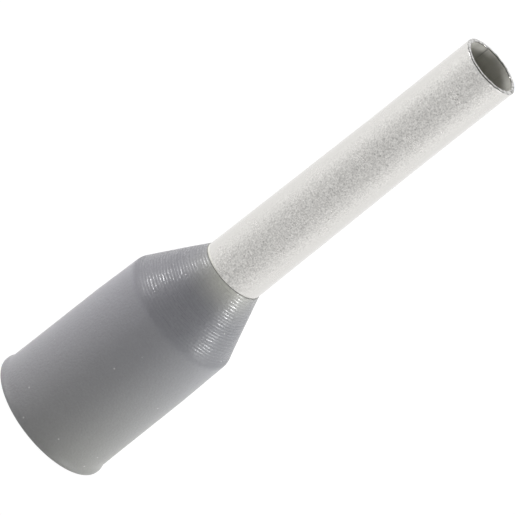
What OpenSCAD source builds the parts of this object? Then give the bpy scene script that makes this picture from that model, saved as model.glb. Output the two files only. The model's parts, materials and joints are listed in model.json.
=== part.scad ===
// Insulated wire ferrule: a plated copper tube whose flared end sits in a plastic collar.
// Both pieces are turned about Z. Z = 0 is the collar's mouth, where the insulated wire goes in,
// and +Z runs to the open end of the tube, where the bare strands come out. Millimetres.

/* [Insulating collar] */
// Length of the collar from its mouth to its nose
collar_l = 5.95; // [4.5:0.05:9]
// Outside diameter of the barrel just above the bead
barrel_d = 3.3; // [3.2:0.02:3.8]
// Outside diameter of the barrel at the shoulder, where the cone starts
shoulder_d = 3.18; // [3.1:0.02:3.8]
// Share of the shoulder's height up to which the barrel keeps most of its diameter
draft_share = 0.68; // [0.4:0.02:0.8]
// Length of the cone between the shoulder and the nose
cone_l = 1.67; // [1.2:0.05:2.4]
// Radius that rounds the shoulder
shoulder_round = 0.3; // [0.1:0.05:0.6]
// Thickness of the plastic that shows round the tube at the nose
nose_wall = 0.02; // [0.015:0.005:0.08]
// Thickness of the cone outside the flare, square to the surface
cone_wall = 0.25; // [0.2:0.01:0.28]

/* [Mouth of the collar] */
// Diameter of the bore that takes the wire with its insulation
entry_d = 2.8; // [2.7:0.02:2.9]
// Width of the chamfer that leads the wire in
lead_in = 0.06; // [0.03:0.01:0.1]
// Height of the bead round the mouth
bead_h = 0.08; // [0.07:0.01:0.3]
// Height over which the bead falls back to the barrel
bead_run = 0.11; // [0.05:0.01:0.3]
// How far the bead stands out from the barrel
bead_out = 0.05; // [0.02:0.01:0.12]
// Radius that rounds the bottom and top edges of the bead
bead_round = 0.04; // [0.02:0.01:0.05]

/* [Contact tube] */
// Length of tube that stands out of the collar
tube_l = 8.05; // [6:0.05:18]
// Outside diameter along the front of the tube
tube_d = 1.56; // [1.4:0.01:1.64]
// Outside diameter where the tube leaves the collar
root_d = 1.65; // [1.6:0.01:1.8]
// Length over which the tube narrows from its root to its front
taper_l = 5; // [1:0.1:5.5]
// Thickness of the tube's wall
tube_wall = 0.1; // [0.08:0.01:0.15]
// Radius on the cut edges of the tube
cut_round = 0.03; // [0.01:0.005:0.035]

/* [Flare in the collar] */
// Outside diameter of the flare's rim
flare_d = 2.5; // [2.2:0.02:2.56]
// Outside radius of the bend between tube and flare
bend_round = 0.2; // [0.05:0.01:0.3]
// Gap between the flare and its seat
fit_gap = 0.01; // [0.005:0.001:0.02]

/* [Hidden] */
arc_steps = 8;
turn_sides = 96;
collar_grey = "#97979a";
tin = "#d6d5d2";

barrel_r = barrel_d / 2;
shoulder_r = shoulder_d / 2;
shoulder_z = collar_l - cone_l;
bead_r = barrel_r + bead_out;
bead_top = bead_h + bead_run;
entry_r = entry_d / 2;

// A third of the barrel's draft comes below this height, and the rest between it and the shoulder.
draft_z = shoulder_z * draft_share;
draft_r = barrel_r - (barrel_r - shoulder_r) / 3;

tube_r = tube_d / 2;
bore_r = tube_r - tube_wall;
root_r = root_d / 2;
tube_end = collar_l + tube_l;
taper_end = collar_l + taper_l;

// The hole in the nose clears the root of the tube by the fit gap.
nose_hole_r = root_r + fit_gap;
nose_r = nose_hole_r + nose_wall;

// Half angle of the cone, measured from the axis.
cone_angle = atan((shoulder_r - nose_r) / cone_l);

// Depths below the cone's outside, all square to it: the flare lies in the collar like a lining,
// so that its inside carries on the funnel that the collar starts.
flare_depth = cone_wall + fit_gap;
funnel_depth = flare_depth + tube_wall;

// Height at which the cone that lies at a depth below the outside has the radius r.
function cone_z(r, depth) = collar_l - (r + depth / cos(cone_angle) - nose_r) / tan(cone_angle);

// Directions in the (r, z) plane: out through the cone's wall, and down the cone to the mouth.
out_of_cone = [cos(cone_angle), sin(cone_angle)];
down_cone = [sin(cone_angle), -cos(cone_angle)];

// Corners of the flare's rim, which is cut square to its wall, and of the recess that holds it.
rim_outer = [flare_d / 2, cone_z(flare_d / 2, flare_depth)];
rim_inner = rim_outer - tube_wall * out_of_cone;
recess_outer = rim_outer + fit_gap * (out_of_cone + down_cone);
recess_inner = rim_inner + fit_gap * down_cone;

function unit(v) = v / norm(v);
function turned(v, a) = [v[0] * cos(a) - v[1] * sin(a), v[0] * sin(a) + v[1] * cos(a)];

// The arc of radius round that replaces corner p, where the sides run to a and to c.
function corner_arc(a, p, c, round) =
    let (
        to_a = unit(a - p),
        to_c = unit(c - p),
        half = acos(to_a * to_c) / 2,
        centre = p + unit(to_a + to_c) * round / sin(half),
        from = p + to_a * round / tan(half) - centre,
        to = p + to_c * round / tan(half) - centre,
        sweep = sign(cross(from, to)) * (180 - 2 * half)
    )
    [for (i = [0:arc_steps]) centre + turned(from, sweep * i / arc_steps)];

// An outline from corners given as [point, radius], where a radius of 0 leaves the corner sharp.
function rounded(corners) =
    let (n = len(corners))
    [for (i = [0:n - 1])
        let (
            before = corners[(i + n - 1) % n][0],
            here = corners[i][0],
            after = corners[(i + 1) % n][0],
            round = corners[i][1]
        )
        each round == 0 ? [here] : corner_arc(before, here, after, round)
    ];

// A ring whose section has these corners.
module turn(corners) {
    rotate_extrude($fn = turn_sides)
        polygon(rounded(corners));
}

// The collar: bead, barrel, shoulder and cone outside, and the wire's bore and funnel inside.
module insulating_collar() {
    color(collar_grey)
        turn([
            [[bead_r, 0], bead_round],
            [[bead_r, bead_h], bead_round],
            [[barrel_r, bead_top], 0],
            [[draft_r, draft_z], 0],
            [[shoulder_r, shoulder_z], shoulder_round],
            [[nose_r, collar_l], 0],
            [[nose_hole_r, collar_l], 0],
            [[nose_hole_r, cone_z(nose_hole_r, cone_wall)], bend_round - fit_gap],
            [recess_outer, 0],
            [recess_inner, 0],
            [[entry_r, cone_z(entry_r, funnel_depth)], 0],
            [[entry_r, lead_in], 0],
            [[entry_r + lead_in, 0], 0]
        ]);
}

// The tube: a straight bore, a slightly tapered root, and the flare that holds it in the collar.
module contact_tube() {
    color(tin)
        turn([
            [[tube_r, tube_end], cut_round],
            [[bore_r, tube_end], cut_round],
            [[bore_r, cone_z(bore_r, funnel_depth)], bend_round + tube_wall],
            [rim_inner, cut_round],
            [rim_outer, cut_round],
            [[root_r, cone_z(root_r, flare_depth)], bend_round],
            [[root_r, collar_l], 0],
            [[tube_r, taper_end], 0]
        ]);
}

insulating_collar();
contact_tube();
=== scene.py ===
"""Insulated wire ferrule: a satin grey moulded collar round a matte tin-plated copper tube.

Both pieces are surfaces of revolution about Z, worked out with numpy: an outline of (radius,
height) points is swept round the axis. The collar's mouth is at Z = 0 and the tube's open end is
at the top. All lengths are in metres.
"""
import json

import bpy
import numpy as np
from mathutils import Matrix, Vector


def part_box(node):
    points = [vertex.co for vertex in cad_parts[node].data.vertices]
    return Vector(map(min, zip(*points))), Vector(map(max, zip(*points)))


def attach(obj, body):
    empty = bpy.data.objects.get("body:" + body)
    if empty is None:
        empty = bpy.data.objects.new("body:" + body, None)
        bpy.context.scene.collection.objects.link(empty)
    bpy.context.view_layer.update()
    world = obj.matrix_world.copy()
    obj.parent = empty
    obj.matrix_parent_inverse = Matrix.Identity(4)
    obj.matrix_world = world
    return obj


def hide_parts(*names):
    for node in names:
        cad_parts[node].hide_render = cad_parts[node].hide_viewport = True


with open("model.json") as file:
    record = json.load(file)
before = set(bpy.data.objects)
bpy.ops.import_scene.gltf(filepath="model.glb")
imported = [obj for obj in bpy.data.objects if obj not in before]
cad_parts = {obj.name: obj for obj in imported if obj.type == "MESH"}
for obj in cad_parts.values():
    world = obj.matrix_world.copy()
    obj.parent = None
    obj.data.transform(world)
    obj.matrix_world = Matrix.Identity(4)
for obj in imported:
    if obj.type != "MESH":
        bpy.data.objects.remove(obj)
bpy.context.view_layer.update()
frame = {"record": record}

MM = 0.001
MICRON = 0.000001

# ---------------------------------------------------------------- sizes from the frame

collar_low, collar_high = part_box("insulating_collar")
tube_low, tube_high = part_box("contact_tube")
mounts = {mount["name"]: mount for mount in frame["record"]["mounts"]}


def mount_radius(name):
    """Radius of a round mount, in metres."""
    return mounts[name]["dims"]["r_mm"] * MM


collar_length = collar_high.z
bead_radius = min(collar_high.x, collar_high.y)
tube_end = tube_high.z
flare_radius = tube_high.x
entry_radius = mount_radius("wire_entry")
bore_radius = mount_radius("conductor_bore")
tube_radius = mount_radius("contact_pin")

# ---------------------------------------------------------------- sizes that the frame doesn't give

barrel_radius = 1.65 * MM
shoulder_radius = 1.59 * MM
shoulder_height = collar_length - 1.67 * MM
draft_height = 0.68 * shoulder_height
draft_radius = barrel_radius - (barrel_radius - shoulder_radius) / 3
shoulder_round = 0.3 * MM
root_radius = 0.825 * MM
fit_gap = 0.01 * MM
nose_wall = 0.02 * MM
cone_wall = 0.25 * MM
tube_wall = tube_radius - bore_radius
taper_length = 5.0 * MM
bead_height = 0.08 * MM
bead_run = 0.11 * MM
bead_round = 0.04 * MM
lead_in = 0.06 * MM
cut_round = 0.03 * MM
inner_round = 0.014 * MM
bend_round = 0.2 * MM

nose_hole_radius = root_radius + fit_gap
nose_radius = nose_hole_radius + nose_wall
lip_radius = root_radius + 0.6 * fit_gap
cone_angle = np.arctan((shoulder_radius - nose_radius) / (collar_length - shoulder_height))
flare_depth = cone_wall + fit_gap
funnel_depth = flare_depth + tube_wall


def cone_height(radius, depth):
    """Height at which the cone that lies at a depth below the collar's outside has this radius."""
    slant = radius + depth / np.cos(cone_angle) - nose_radius
    return collar_length - slant / np.tan(cone_angle)


def flare_rim():
    """The corners of the flare's rim, outer and inner, cut square to its wall, and the directions
    out through the cone's wall and down the cone, all as (radius, height)."""
    across = np.array([np.cos(cone_angle), np.sin(cone_angle)])
    down = np.array([np.sin(cone_angle), -np.cos(cone_angle)])
    rim_outer = np.array([flare_radius, cone_height(flare_radius, flare_depth)])
    return rim_outer, rim_outer - tube_wall * across, across, down


# ---------------------------------------------------------------- outlines

ARC_POINTS = 10
TURN_POINTS = 160


def run(start, end, count):
    """Points spaced evenly along the straight line from start to end, both included."""
    t = np.linspace(0, 1, count)[:, None]
    return np.array(start) * (1 - t) + np.array(end) * t


def round_corner(before, corner, after, radius):
    """The arc that rounds a corner: its centre lies on the corner's bisector, at the radius over
    the sine of half the corner's angle, and it touches both sides."""
    before, corner, after = (np.array(point, float) for point in (before, corner, after))
    to_before = (before - corner) / np.linalg.norm(before - corner)
    to_after = (after - corner) / np.linalg.norm(after - corner)
    half = np.arccos(np.clip(to_before @ to_after, -1, 1)) / 2
    bisector = (to_before + to_after) / np.linalg.norm(to_before + to_after)
    centre = corner + bisector * radius / np.sin(half)
    first = corner + to_before * radius / np.tan(half) - centre
    last = corner + to_after * radius / np.tan(half) - centre
    turn = np.sign(first[0] * last[1] - first[1] * last[0]) * (np.pi - 2 * half)
    angles = np.linspace(0, turn, ARC_POINTS)
    cos, sin = np.cos(angles), np.sin(angles)
    return centre + np.stack([first[0] * cos - first[1] * sin, first[0] * sin + first[1] * cos], 1)


def outline(corners):
    """Closed outline from corners given as (radius, height, rounding)."""
    points = []
    for i, (r, z, rounding) in enumerate(corners):
        before = corners[i - 1][:2]
        after = corners[(i + 1) % len(corners)][:2]
        if rounding:
            points.append(round_corner(before, (r, z), after, rounding))
        else:
            points.append(np.array([[r, z]]))
    return np.concatenate(points)


def refine_open(points, step):
    """Splits each side of an open line that is longer than step into equal shorter ones."""
    pieces = []
    for here, after in zip(points[:-1], points[1:]):
        count = max(1, int(np.ceil(np.linalg.norm(after - here) / step)))
        pieces.append(run(here, after, count + 1)[:-1])
    return np.concatenate(pieces + [points[-1:]])


def turned_piece(name, points, relief, materials, which):
    """Sweeps a closed outline round Z: point (r, z) goes to (r cos a, r sin a, z) at the angle a,
    once relief(r, z, a) has added its small changes of radius and height. The outline runs up its
    outer side, so that the faces point outwards. which(r, z) gives each ring's material."""
    n = len(points)
    angles = np.arange(TURN_POINTS) * 2 * np.pi / TURN_POINTS
    r, z = points[:, :1], points[:, 1:]
    extra_r, extra_z = relief(r, z, angles[None, :])
    co = np.empty((n, TURN_POINTS, 3))
    co[..., 0] = (r + extra_r) * np.cos(angles)
    co[..., 1] = (r + extra_r) * np.sin(angles)
    co[..., 2] = z + extra_z
    ring, step = np.meshgrid(np.arange(n), np.arange(TURN_POINTS), indexing="ij")
    next_ring, next_step = (ring + 1) % n, (step + 1) % TURN_POINTS
    index = lambda i, j: i * TURN_POINTS + j
    faces = np.stack([index(ring, step), index(ring, next_step),
                      index(next_ring, next_step), index(next_ring, step)], -1).reshape(-1, 4)
    mesh = bpy.data.meshes.new(name)
    mesh.from_pydata(co.reshape(-1, 3), [], faces)
    for material in materials:
        mesh.materials.append(material)
    middle = (points + np.roll(points, -1, axis=0)) / 2
    slots = np.repeat(which(middle[:, 0], middle[:, 1]), TURN_POINTS)
    mesh.polygons.foreach_set("material_index", slots.astype(np.int32))
    mesh.polygons.foreach_set("use_smooth", np.ones(len(faces), bool))
    mesh.update()
    piece = bpy.data.objects.new(name, mesh)
    bpy.context.scene.collection.objects.link(piece)
    return piece


# ---------------------------------------------------------------- materials


class Nodes:
    """Adds shader nodes to a new material and links them by socket name."""

    def __init__(self, name):
        self.material = bpy.data.materials.new(name)
        self.material.use_nodes = True
        self.tree = self.material.node_tree
        self.shader = self.tree.nodes["Principled BSDF"]

    def add(self, kind, **values):
        node = self.tree.nodes.new("ShaderNode" + kind)
        for key, value in values.items():
            if key in ("operation", "data_type"):
                setattr(node, key, value)
            else:
                node.inputs[key.replace("_", " ")].default_value = value
        return node

    def link(self, out, into):
        self.tree.links.new(out, into)


def object_coordinates(nodes, scale=(1, 1, 1)):
    """Object coordinates, stretched by a scale along each axis."""
    place = nodes.add("TexCoord")
    mapping = nodes.add("Mapping", Scale=scale)
    nodes.link(place.outputs["Object"], mapping.inputs["Vector"])
    return mapping.outputs["Vector"]


def noise(nodes, vector, size, detail=2.0, roughness=0.5):
    """Noise whose blobs are about this size, in metres."""
    node = nodes.add("TexNoise", Scale=1 / size, Detail=detail, Roughness=roughness)
    nodes.link(vector, node.inputs["Vector"])
    return node.outputs["Fac"]


def remap(nodes, value, low, high, to_low, to_high):
    """Value taken from the range low..high to the range to_low..to_high, clamped."""
    node = nodes.add("MapRange")
    nodes.link(value, node.inputs["Value"])
    node.inputs["From Min"].default_value = low
    node.inputs["From Max"].default_value = high
    node.inputs["To Min"].default_value = to_low
    node.inputs["To Max"].default_value = to_high
    return node.outputs["Result"]


def mixed_colour(nodes, share, first, second):
    """Colour between first and second, by share."""
    node = nodes.add("Mix", data_type="RGBA")
    nodes.link(share, node.inputs["Factor"])
    for socket, colour in ((6, first), (7, second)):
        if isinstance(colour, tuple):
            node.inputs[socket].default_value = (*colour, 1)
        else:
            nodes.link(colour, node.inputs[socket])
    return node.outputs[2]


def bump(nodes, height, depth):
    """Normals of a relief of this depth, in metres."""
    node = nodes.add("Bump", Strength=1.0, Distance=depth)
    nodes.link(height, node.inputs["Height"])
    return node.outputs["Normal"]


def axes(nodes, vector):
    """The vector's X, Y and Z."""
    split = nodes.add("SeparateXYZ")
    nodes.link(vector, split.inputs[0])
    return split.outputs["X"], split.outputs["Y"], split.outputs["Z"]


def combine(nodes, operation, first, second):
    """Math of this operation on first and second; each is a socket or a number."""
    node = nodes.add("Math", operation=operation)
    for socket, value in zip(node.inputs, (first, second)):
        if isinstance(value, (int, float)):
            socket.default_value = value
        else:
            nodes.link(value, socket)
    return node.outputs[0]


def multiply(nodes, first, second):
    """First times second; each is a socket or a number."""
    return combine(nodes, "MULTIPLY", first, second)


def plus(nodes, first, second):
    """First plus second; each is a socket or a number."""
    return combine(nodes, "ADD", first, second)


def specks(nodes, place, spacing, radius, share):
    """1 on small round specks and 0 between them: one cell in so many, by share, holds a speck,
    and it is where the distance to the cell's point is under the radius."""
    cells = nodes.add("TexVoronoi", Scale=1 / spacing)
    nodes.link(place, cells.inputs["Vector"])
    near = remap(nodes, cells.outputs["Distance"], 0.5 * radius / spacing, radius / spacing, 1, 0)
    pick = nodes.add("SeparateColor")
    nodes.link(cells.outputs["Color"], pick.inputs["Color"])
    chosen = remap(nodes, pick.outputs["Red"], share, share + 0.001, 1, 0)
    return multiply(nodes, near, chosen)


def polished_rings(nodes, place, pitch):
    """1 on the polished crests of the turning marks and 0 in the dull grooves between them: a sine
    wave of the height, at a pitch, that noise bends a little, and that is stronger in some bunches
    of rings than in others."""
    height = axes(nodes, place)[2]
    bend = multiply(nodes, noise(nodes, place, 0.45 * MM, 2), 7.0)
    wave = nodes.add("Math", operation="SINE")
    nodes.link(plus(nodes, multiply(nodes, height, 2 * np.pi / pitch), bend), wave.inputs[0])
    crest = remap(nodes, wave.outputs[0], -0.1, 0.9, 0, 1)
    round_axis = object_coordinates(nodes, (0.4, 0.4, 1))
    bunch = remap(nodes, noise(nodes, round_axis, 0.13 * MM, 1), 0.38, 0.62, 0.5, 1)
    return multiply(nodes, crest, bunch)


POLISH_PITCH = 0.066 * MM
# Heights over which the front of the nose is painted paler, as painted light.
PAINTED_GLOW_START = 5.1 * MM
PAINTED_GLOW_END = 5.95 * MM
DUST_SPACING = 0.46 * MM
DUST_RADIUS = 0.028 * MM


def collar_grey(nodes, place):
    """Colour of the collar's plastic: cooler on the left than on the right, and warmer at the mouth
    than at the shoulder. The cone has a mottle and painted shade where it turns away from the eye.
    At the front of the nose, where the wall over the metal is thinner, it is painted paler: painted
    light."""
    x, y, z = axes(nodes, place)
    mottle = remap(nodes, noise(nodes, place, 1.2 * MM, 3), 0.3, 0.7, 0, 1)
    cast = remap(nodes, x, -1.6 * MM, 1.0 * MM, 0, 1)
    left = mixed_colour(nodes, mottle, (0.316, 0.311, 0.343), (0.332, 0.327, 0.360))
    right = mixed_colour(nodes, mottle, (0.308, 0.314, 0.336), (0.324, 0.330, 0.352))
    cone = mixed_colour(nodes, cast, left, right)
    # Painted shade: the cone's colour is darkened towards its edges as seen from the camera.
    facing = nodes.add("LayerWeight", Blend=0.5).outputs["Facing"]
    cone = mixed_colour(nodes, remap(nodes, facing, 0.25, 0.95, 0, 0.42), cone, (0.10, 0.10, 0.11))
    low = mixed_colour(nodes, cast, (0.352, 0.348, 0.369), (0.348, 0.350, 0.336))
    high = mixed_colour(nodes, cast, (0.353, 0.348, 0.380), (0.347, 0.351, 0.370))
    barrel = mixed_colour(nodes, remap(nodes, z, 0.3 * MM, shoulder_height, 0, 1), low, high)
    above = remap(nodes, z, shoulder_height - 0.14 * MM, shoulder_height + 0.12 * MM, 0, 1)
    grey = mixed_colour(nodes, above, barrel, cone)
    # Painted light: the front of the nose is painted paler, in place of light coming through its
    # thinner wall.
    painted_glow_height = remap(nodes, z, PAINTED_GLOW_START, PAINTED_GLOW_END, 0, 1)
    painted_glow_height = multiply(nodes, painted_glow_height, painted_glow_height)
    front = multiply(nodes, remap(nodes, y, -0.95 * MM, -0.2 * MM, 1, 0.2),
                     remap(nodes, x, -0.8 * MM, 0, 0.45, 1))
    return mixed_colour(nodes, multiply(nodes, painted_glow_height, front), grey, (0.80, 0.80, 0.72))


def collar_plastic():
    """Satin grey polypropylene with a fine grain, a moulded skin and a little dust. The cone is
    duller than the barrel, except on the crests of its turning marks, which are polished."""
    nodes = Nodes("collar_plastic")
    place = object_coordinates(nodes)
    z = axes(nodes, place)[2]
    grain = remap(nodes, noise(nodes, place, 0.045 * MM, 2, 0.6), 0.3, 0.7, 0, 0.11)
    grey = mixed_colour(nodes, grain, collar_grey(nodes, place), (0.05, 0.05, 0.052))
    dust = specks(nodes, place, DUST_SPACING, DUST_RADIUS, 0.6)
    colour = mixed_colour(nodes, dust, grey, (0.62, 0.62, 0.62))
    nodes.link(colour, nodes.shader.inputs["Base Color"])
    skin = noise(nodes, place, 0.060 * MM, 2, 0.6)
    smooth = remap(nodes, z, shoulder_height + 0.05 * MM, shoulder_height + 0.2 * MM, 0, 1)
    gloss = multiply(nodes, polished_rings(nodes, place, POLISH_PITCH), smooth)
    rough = plus(nodes, remap(nodes, skin, 0.3, 0.7, 0.40, 0.48), multiply(nodes, gloss, -0.24))
    nodes.link(rough, nodes.shader.inputs["Roughness"])
    worn = remap(nodes, z, shoulder_height - 0.12 * MM, shoulder_height - 0.02 * MM, 0.5, 0.25)
    sheen = plus(nodes, worn, multiply(nodes, gloss, 0.8))
    nodes.link(sheen, nodes.shader.inputs["Specular IOR Level"])
    nodes.link(bump(nodes, skin, 9 * MICRON), nodes.shader.inputs["Normal"])
    nodes.shader.inputs["IOR"].default_value = 1.49
    return nodes.material


def collar_lip():
    """Thin edge of the collar where it closes on the tube: the same plastic, darkened in the crease
    by dirt and painted shade."""
    nodes = Nodes("collar_lip")
    # Dark band at the lip: dirt and painted shade where the collar meets the tube.
    dirt_and_shade = remap(nodes, noise(nodes, object_coordinates(nodes), 0.12 * MM, 2), 0.3, 0.7, 0, 1)
    colour = mixed_colour(nodes, dirt_and_shade, (0.22, 0.22, 0.21), (0.34, 0.34, 0.32))
    nodes.link(colour, nodes.shader.inputs["Base Color"])
    nodes.link(bump(nodes, dirt_and_shade, 2 * MICRON), nodes.shader.inputs["Normal"])
    nodes.shader.inputs["Roughness"].default_value = 0.6
    nodes.shader.inputs["Specular IOR Level"].default_value = 0.1
    return nodes.material


def tin_plating():
    """Matte tin on the outside of the tube: a crystalline grain in the relief and the colour, and
    small dark pits. The grain fades where the surface turns away from the eye, as its facets hide
    each other."""
    nodes = Nodes("tin_plating")
    place = object_coordinates(nodes)
    grain = noise(nodes, place, 0.040 * MM, 3, 0.7)
    patches = noise(nodes, place, 0.5 * MM, 2)
    facing = nodes.add("LayerWeight", Blend=0.5).outputs["Facing"]
    turned = remap(nodes, facing, 0.02, 0.55, 1, 0.06)
    shade = remap(nodes, grain, 0.34, 0.66, 0, 1)
    even = (0.622, 0.611, 0.590)
    grained = mixed_colour(nodes, shade, (0.45, 0.442, 0.427), (0.83, 0.816, 0.789))
    pits = multiply(nodes, specks(nodes, place, 0.13 * MM, 0.030 * MM, 0.5), 0.55)
    grained = mixed_colour(nodes, pits, grained, (0.24, 0.235, 0.23))
    nodes.link(mixed_colour(nodes, turned, even, grained), nodes.shader.inputs["Base Color"])
    nodes.link(remap(nodes, patches, 0.3, 0.7, 0.26, 0.32), nodes.shader.inputs["Roughness"])
    relief = nodes.add("Bump", Distance=15 * MICRON)
    nodes.link(turned, relief.inputs["Strength"])
    nodes.link(grain, relief.inputs["Height"])
    nodes.link(relief.outputs["Normal"], nodes.shader.inputs["Normal"])
    nodes.shader.inputs["Metallic"].default_value = 1.0
    return nodes.material


SCRATCH_X = -0.355 * MM
SCRATCH_HALF_WIDTH = 0.013 * MM


def drawn_bore():
    """Inside of the tube: satin and a little warmer than the outside, with drawing lines along it
    and one deeper drawing scratch, at a steady X on the back wall, that fades below the mouth."""
    nodes = Nodes("drawn_bore")
    lines = noise(nodes, object_coordinates(nodes, (1, 1, 0.02)), 0.16 * MM, 3)
    shade = remap(nodes, lines, 0.3, 0.7, 0, 1)
    colour = mixed_colour(nodes, shade, (0.70, 0.69, 0.64), (0.84, 0.83, 0.78))
    x, y, z = axes(nodes, object_coordinates(nodes))
    line = nodes.add("Math", operation="COMPARE")
    nodes.link(x, line.inputs[0])
    line.inputs[1].default_value = SCRATCH_X
    line.inputs[2].default_value = SCRATCH_HALF_WIDTH
    back = remap(nodes, y, 0, 0.1 * MM, 0, 0.6)
    fading = remap(nodes, z, tube_end - 0.40 * MM, tube_end - 0.10 * MM, 0.1, 1)
    scratch = multiply(nodes, line.outputs[0], multiply(nodes, back, fading))
    colour = mixed_colour(nodes, scratch, colour, (0.16, 0.155, 0.14))
    nodes.link(colour, nodes.shader.inputs["Base Color"])
    nodes.link(remap(nodes, lines, 0.3, 0.7, 0.44, 0.52), nodes.shader.inputs["Roughness"])
    nodes.link(bump(nodes, lines, 3 * MICRON), nodes.shader.inputs["Normal"])
    nodes.shader.inputs["Metallic"].default_value = 0.55
    return nodes.material


def cut_edge():
    """Cut end of the tube: smeared metal, duller than the plating, and smoothed by the blade."""
    nodes = Nodes("cut_edge")
    marks = noise(nodes, object_coordinates(nodes), 0.06 * MM, 3)
    shade = remap(nodes, marks, 0.4, 0.6, 0, 1)
    colour = mixed_colour(nodes, shade, (0.25, 0.247, 0.24), (0.62, 0.613, 0.60))
    nodes.link(colour, nodes.shader.inputs["Base Color"])
    nodes.link(bump(nodes, marks, 2 * MICRON), nodes.shader.inputs["Normal"])
    nodes.shader.inputs["Roughness"].default_value = 0.2
    nodes.shader.inputs["Metallic"].default_value = 1.0
    return nodes.material


# ---------------------------------------------------------------- the collar

RIDGE_PITCH = 0.060 * MM
RIDGE_HEIGHT = 2.0 * MICRON
GROUP_PITCH = 0.158 * MM
GROUP_HEIGHT = 4.0 * MICRON
NOSE_SKEW = 0.0495 * MM
NOSE_DROP = 0.0125 * MM
# Height of the band at the lip that is darkened by dirt and painted shade.
LIP_DIRT_AND_SHADE = 0.014 * MM
CONE_POINTS = 340
BARREL_STEP = 0.08 * MM
HOLLOW_STEP = 0.12 * MM


def cone_line_radius(height):
    """Radius of the collar's outer cone at a height, on the line from the shoulder to the lip."""
    share = (collar_length - height) / (collar_length - shoulder_height)
    return lip_radius + share * (shoulder_radius - lip_radius)


def rings(rng, slant, pitch, angles):
    """Depth of turned rings, as a share of the full depth: a cosine wave at a steady pitch along
    the slant, where each ring has its own depth, which wanders a little round it."""
    ring = np.clip(slant / pitch, 0, None)
    number = ring.astype(int)
    count = number.max() + 1
    depths = rng.uniform(0.3, 1.0, count)[number]
    lobes, phase = rng.integers(3, 9, count)[number], rng.uniform(0, 7, count)[number]
    wander = 1 + 0.3 * np.sin(lobes * angles + phase)
    return depths * wander * (0.5 - 0.5 * np.cos(2 * np.pi * ring))


def ridge_depth(slant, angles):
    """Turning marks on the cone: fine rings, on broader rings that bunch them in groups."""
    rng = np.random.default_rng(7)
    return (RIDGE_HEIGHT * rings(rng, slant, RIDGE_PITCH, angles)
            + GROUP_HEIGHT * rings(rng, slant, GROUP_PITCH, angles))


def collar_relief(r, z, angles):
    """Small departures of the collar from a true turned shape: the turning marks, and a nose that
    is a little askew, so that the cone's height changes with the cosine of the angle round it."""
    slant = (collar_length - z) / np.cos(cone_angle)
    outside = r > cone_line_radius(z) - 0.03 * MM
    on_cone = outside & (z > shoulder_height + 0.07 * MM) & (z < collar_length)
    fade_low = np.clip((z - shoulder_height) / (0.2 * MM) - 0.35, 0, 1)
    fade = np.clip(slant / (0.10 * MM), 0, 1) * fade_low
    depth = on_cone * fade * ridge_depth(slant, angles)
    share = np.clip((z - shoulder_height) / (collar_length - shoulder_height), 0, 1) ** 2
    skew = (NOSE_SKEW * np.cos(angles) - NOSE_DROP) * share * outside
    return -depth * np.cos(cone_angle), skew - depth * np.sin(cone_angle)


def make_collar():
    """The collar: bead, barrel, shoulder and cone outside, bore, funnel and flare seat inside. At
    the nose its lip closes on the tube."""
    rim_outer, rim_inner, across, down = flare_rim()
    corners = [
        (bead_radius, 0, bead_round),
        (bead_radius, bead_height, bead_round),
        (barrel_radius, bead_height + bead_run, 0),
        (draft_radius, draft_height, 0),
        (shoulder_radius, shoulder_height, shoulder_round),
        (lip_radius, collar_length, 0),
        (root_radius + 0.2 * fit_gap, collar_length, 0),
        (nose_hole_radius, collar_length - 0.06 * MM, 0),
        (nose_hole_radius, cone_height(nose_hole_radius, cone_wall), bend_round - fit_gap),
        (*(rim_outer + fit_gap * (across + down)), 0),
        (*(rim_inner + fit_gap * down), 0),
        (entry_radius, cone_height(entry_radius, funnel_depth), 0),
        (entry_radius, lead_in, 0),
        (entry_radius + lead_in, 0, 0),
    ]
    points = outline(corners)
    outer = np.flatnonzero((points[:, 0] > cone_line_radius(points[:, 1]) - 0.001 * MM)
                           & (points[:, 1] > shoulder_height))
    first, last = outer[0], outer[-1]
    barrel = refine_open(points[:first + 1], BARREL_STEP)
    cone = run(points[first], points[last], CONE_POINTS)
    hollow = refine_open(np.concatenate([points[last:], points[:1]]), HOLLOW_STEP)
    points = np.concatenate([barrel, cone[1:-1], hollow[:-1]])
    collar = turned_piece("collar", points, collar_relief, [collar_plastic(), collar_lip()],
                          lambda r, z: np.where(z > collar_length - LIP_DIRT_AND_SHADE, 1, 0))
    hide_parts("insulating_collar")
    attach(collar, "root")


# ---------------------------------------------------------------- the tube

PLATED, BORE, CUT = 0, 1, 2
RIM_WAVER = 0.0025 * MM
MOUTH_ZONE = 0.2 * MM
MOUTH_STEP = 0.008 * MM
TUBE_STEP = 0.1 * MM


def tube_relief(r, z, angles):
    """Mark that the cutter left at the mouth: a slight waver of the rim, a sum of sines round it,
    which dies out below the mouth."""
    rng = np.random.default_rng(3)
    waves = np.arange(3, 22)
    size = rng.normal(size=(2, len(waves))) / np.sqrt(waves)
    phase = rng.uniform(0, 2 * np.pi, (2, len(waves)))
    waver = (size[:, :, None] * np.sin(waves[:, None] * angles + phase[:, :, None])).sum(1)
    near = np.exp(-np.clip(tube_end - z, 0, None) / (0.04 * MM)) * RIM_WAVER
    return near * waver[0], near * (waver[1] - np.abs(waver[1]).max())


def tube_parts(r, z):
    """Material of each ring of the tube: bore and inside of the flare, cut mouth, or plating."""
    inside = r < np.where(z > collar_length, bore_radius + 0.3 * tube_wall, nose_hole_radius)
    mouth = z > tube_end - 0.9 * cut_round
    return np.where(mouth, CUT, np.where(inside, BORE, PLATED))


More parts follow.
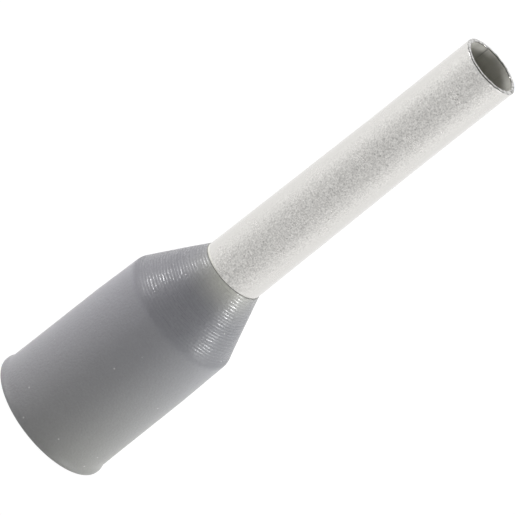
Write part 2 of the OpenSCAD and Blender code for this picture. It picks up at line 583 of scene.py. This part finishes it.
def make_tube():
    """The tube: straight open front, slightly thicker root, and the flare inside the collar."""
    rim_outer, rim_inner, _, _ = flare_rim()
    mouth_start = tube_end - MOUTH_ZONE
    corners = [
        (tube_radius, mouth_start, 0),
        (tube_radius, tube_end, cut_round),
        (bore_radius, tube_end, inner_round),
        (bore_radius, mouth_start, 0),
        (bore_radius, cone_height(bore_radius, funnel_depth), bend_round + tube_wall),
        (*rim_inner, cut_round),
        (*rim_outer, cut_round),
        (root_radius, cone_height(root_radius, flare_depth), bend_round),
        (root_radius, collar_length, 0),
        (tube_radius, collar_length + taper_length, 0),
    ]
    points = outline(corners)
    mouth = np.flatnonzero(points[:, 1] >= mouth_start - 0.001 * MM)[-1]
    front = refine_open(points[:mouth + 1], MOUTH_STEP)
    rest = refine_open(np.concatenate([points[mouth:], points[:1]]), TUBE_STEP)
    points = np.concatenate([front[:-1], rest[:-1]])
    materials = [tin_plating(), drawn_bore(), cut_edge()]
    tube = turned_piece("tube", points, tube_relief, materials, tube_parts)
    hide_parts("contact_tube")
    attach(tube, "root")


# ---------------------------------------------------------------- floor, light and camera

FLOOR_SIZE = 0.5
FLOOR_GLOW = 0.97
FLOOR_SHEEN = (0.84, 1.10)
FLOOR_SHADOW = 0.12
FLOOR_BOUNCE = 0.80
WALL_LIGHT = (0.15, 4.8)
WALL_SHEEN = (0.20, 1.20)
ROOF_LIGHT = 0.05
ROOF_SHEEN = 0.08


def make_floor():
    """White floor. To the camera it glows, with a little matte white that keeps the ferrule's
    shadow. In reflections it glows too, and is dimmer in front than at the sides, by the Y of the
    direction from the ferrule. For all other light it is plain matte white."""
    mesh = bpy.data.meshes.new("floor")
    corners = [(x * FLOOR_SIZE, y * FLOOR_SIZE, 0) for x, y in ((-1, -1), (1, -1), (1, 1), (-1, 1))]
    mesh.from_pydata(corners, [], [(0, 1, 2, 3)])
    floor = bpy.data.objects.new("floor", mesh)
    bpy.context.scene.collection.objects.link(floor)
    nodes = Nodes("floor_white")
    rays = nodes.add("LightPath")
    camera, glossy = rays.outputs["Is Camera Ray"], rays.outputs["Is Glossy Ray"]
    away = nodes.add("VectorMath", operation="NORMALIZE")
    nodes.link(object_coordinates(nodes), away.inputs[0])
    sheen = remap(nodes, axes(nodes, away.outputs[0])[1], -1.0, 0.1, *FLOOR_SHEEN)
    glow = plus(nodes, multiply(nodes, camera, FLOOR_GLOW), multiply(nodes, glossy, sheen))
    seen = combine(nodes, "MAXIMUM", camera, glossy)
    white = mixed_colour(nodes, seen, (FLOOR_BOUNCE,) * 3, (FLOOR_SHADOW,) * 3)
    nodes.link(white, nodes.shader.inputs["Base Color"])
    nodes.link(glow, nodes.shader.inputs["Emission Strength"])
    nodes.shader.inputs["Emission Color"].default_value = (1, 1, 1, 1)
    nodes.shader.inputs["Roughness"].default_value = 1.0
    nodes.shader.inputs["Specular IOR Level"].default_value = 0.0
    mesh.materials.append(nodes.material)


def make_world():
    """A light tent, white to the camera. For light its walls are dimmer on the camera's side than
    at the sides and behind, and its roof is dimmer than its walls: the walls' light runs with the
    direction's Y, and is multiplied by a share that falls with the direction's Z. In reflections
    the walls are more even, so that the metal shows the white surroundings."""
    world = bpy.data.worlds.new("tent")
    bpy.context.scene.world = world
    world.use_nodes = True
    tree = world.node_tree
    split = tree.nodes.new("ShaderNodeSeparateXYZ")
    direction = tree.nodes.new("ShaderNodeTexCoord").outputs["Generated"]
    tree.links.new(direction, split.inputs[0])

    def ramp(axis, low, high, to_low, to_high):
        node = tree.nodes.new("ShaderNodeMapRange")
        node.interpolation_type = "SMOOTHSTEP"
        tree.links.new(split.outputs[axis], node.inputs["Value"])
        ends = {"From Min": low, "From Max": high, "To Min": to_low, "To Max": to_high}
        for key, value in ends.items():
            node.inputs[key].default_value = value
        return node.outputs["Result"]

    def mix(share, first, second):
        node = tree.nodes.new("ShaderNodeMix")
        tree.links.new(share, node.inputs["Factor"])
        tree.links.new(first, node.inputs[2])
        if isinstance(second, float):
            node.inputs[3].default_value = second
        else:
            tree.links.new(second, node.inputs[3])
        return node.outputs[0]

    def tent(walls, roof):
        node = tree.nodes.new("ShaderNodeMath")
        node.operation = "MULTIPLY"
        tree.links.new(walls, node.inputs[0])
        tree.links.new(roof, node.inputs[1])
        return node.outputs[0]

    light = tent(ramp("Y", -0.9, 0.0, *WALL_LIGHT), ramp("Z", 0.0, 0.5, 1.0, ROOF_LIGHT))
    sheen = tent(ramp("Y", -0.9, 0.1, *WALL_SHEEN), ramp("Z", 0.4, 0.8, 1.0, ROOF_SHEEN))
    rays = tree.nodes.new("ShaderNodeLightPath")
    lit = mix(rays.outputs["Is Glossy Ray"], light, sheen)
    strength = mix(rays.outputs["Is Camera Ray"], lit, 1.0)
    background = tree.nodes["Background"]
    background.inputs["Color"].default_value = (1, 1, 1, 1)
    tree.links.new(strength, background.inputs["Strength"])


BOX_SIDE, BOX_FRONT, BOX_RISE = 0.9557, -0.158, 0.2482
BOX_DISTANCE = 0.1
BOX_WIDTH, BOX_HEIGHT = 0.018, 0.014
LEFT_RADIANCE, RIGHT_RADIANCE = 34.0, 40.0


def make_lamp(name, side, radiance):
    """A soft box beside the ferrule and a little above and in front of it, facing its middle, of an
    even radiance. side is -1 on the left and 1 on the right."""
    light = bpy.data.lights.new(name, "AREA")
    light.shape = "RECTANGLE"
    light.size = BOX_WIDTH
    light.size_y = BOX_HEIGHT
    light.energy = radiance * np.pi * BOX_WIDTH * BOX_HEIGHT
    lamp = bpy.data.objects.new(name, light)
    bpy.context.scene.collection.objects.link(lamp)
    towards = Vector((side * BOX_SIDE, BOX_FRONT, BOX_RISE)).normalized()
    lamp.location = Vector((0, 0, tube_end / 2)) + towards * BOX_DISTANCE
    lamp.rotation_euler = towards.to_track_quat("Z", "Y").to_euler()


CAMERA_TARGET = Vector((0, 0, 7.557 * MM))
CAMERA_AIM = Vector((0.100 * MM, 0, 6.60 * MM))
CAMERA_DISTANCE = 147.1 * MM
CAMERA_ELEVATION = np.radians(22.73)
CAMERA_LENS = 449.0
AXIS_TILT = np.radians(38.42)


def make_camera():
    """Long lens, looking down a little, and rolled so that the ferrule's axis rises to the
    right."""
    data = bpy.data.cameras.new("camera")
    data.lens = CAMERA_LENS
    data.sensor_width = 36.0
    data.clip_start = 0.01
    data.clip_end = 10.0
    camera = bpy.data.objects.new("camera", data)
    bpy.context.scene.collection.objects.link(camera)
    back = Vector((0, -np.cos(CAMERA_ELEVATION), np.sin(CAMERA_ELEVATION)))
    place = CAMERA_TARGET + CAMERA_DISTANCE * back
    look = (CAMERA_AIM - place).normalized()
    axis = Vector((0, 0, 1)) - look * look.z
    axis.normalize()
    across = (-look).cross(axis)
    right = np.cos(AXIS_TILT) * axis - np.sin(AXIS_TILT) * across
    up = np.sin(AXIS_TILT) * axis + np.cos(AXIS_TILT) * across
    turn = Matrix((right, up, -look)).transposed()
    camera.matrix_world = Matrix.Translation(place) @ turn.to_4x4()
    bpy.context.scene.camera = camera


make_camera()
make_collar()
make_tube()
make_floor()
make_world()
make_lamp("left_box", -1, LEFT_RADIANCE)
make_lamp("right_box", 1, RIGHT_RADIANCE)
bpy.context.scene.view_settings.view_transform = "Standard"
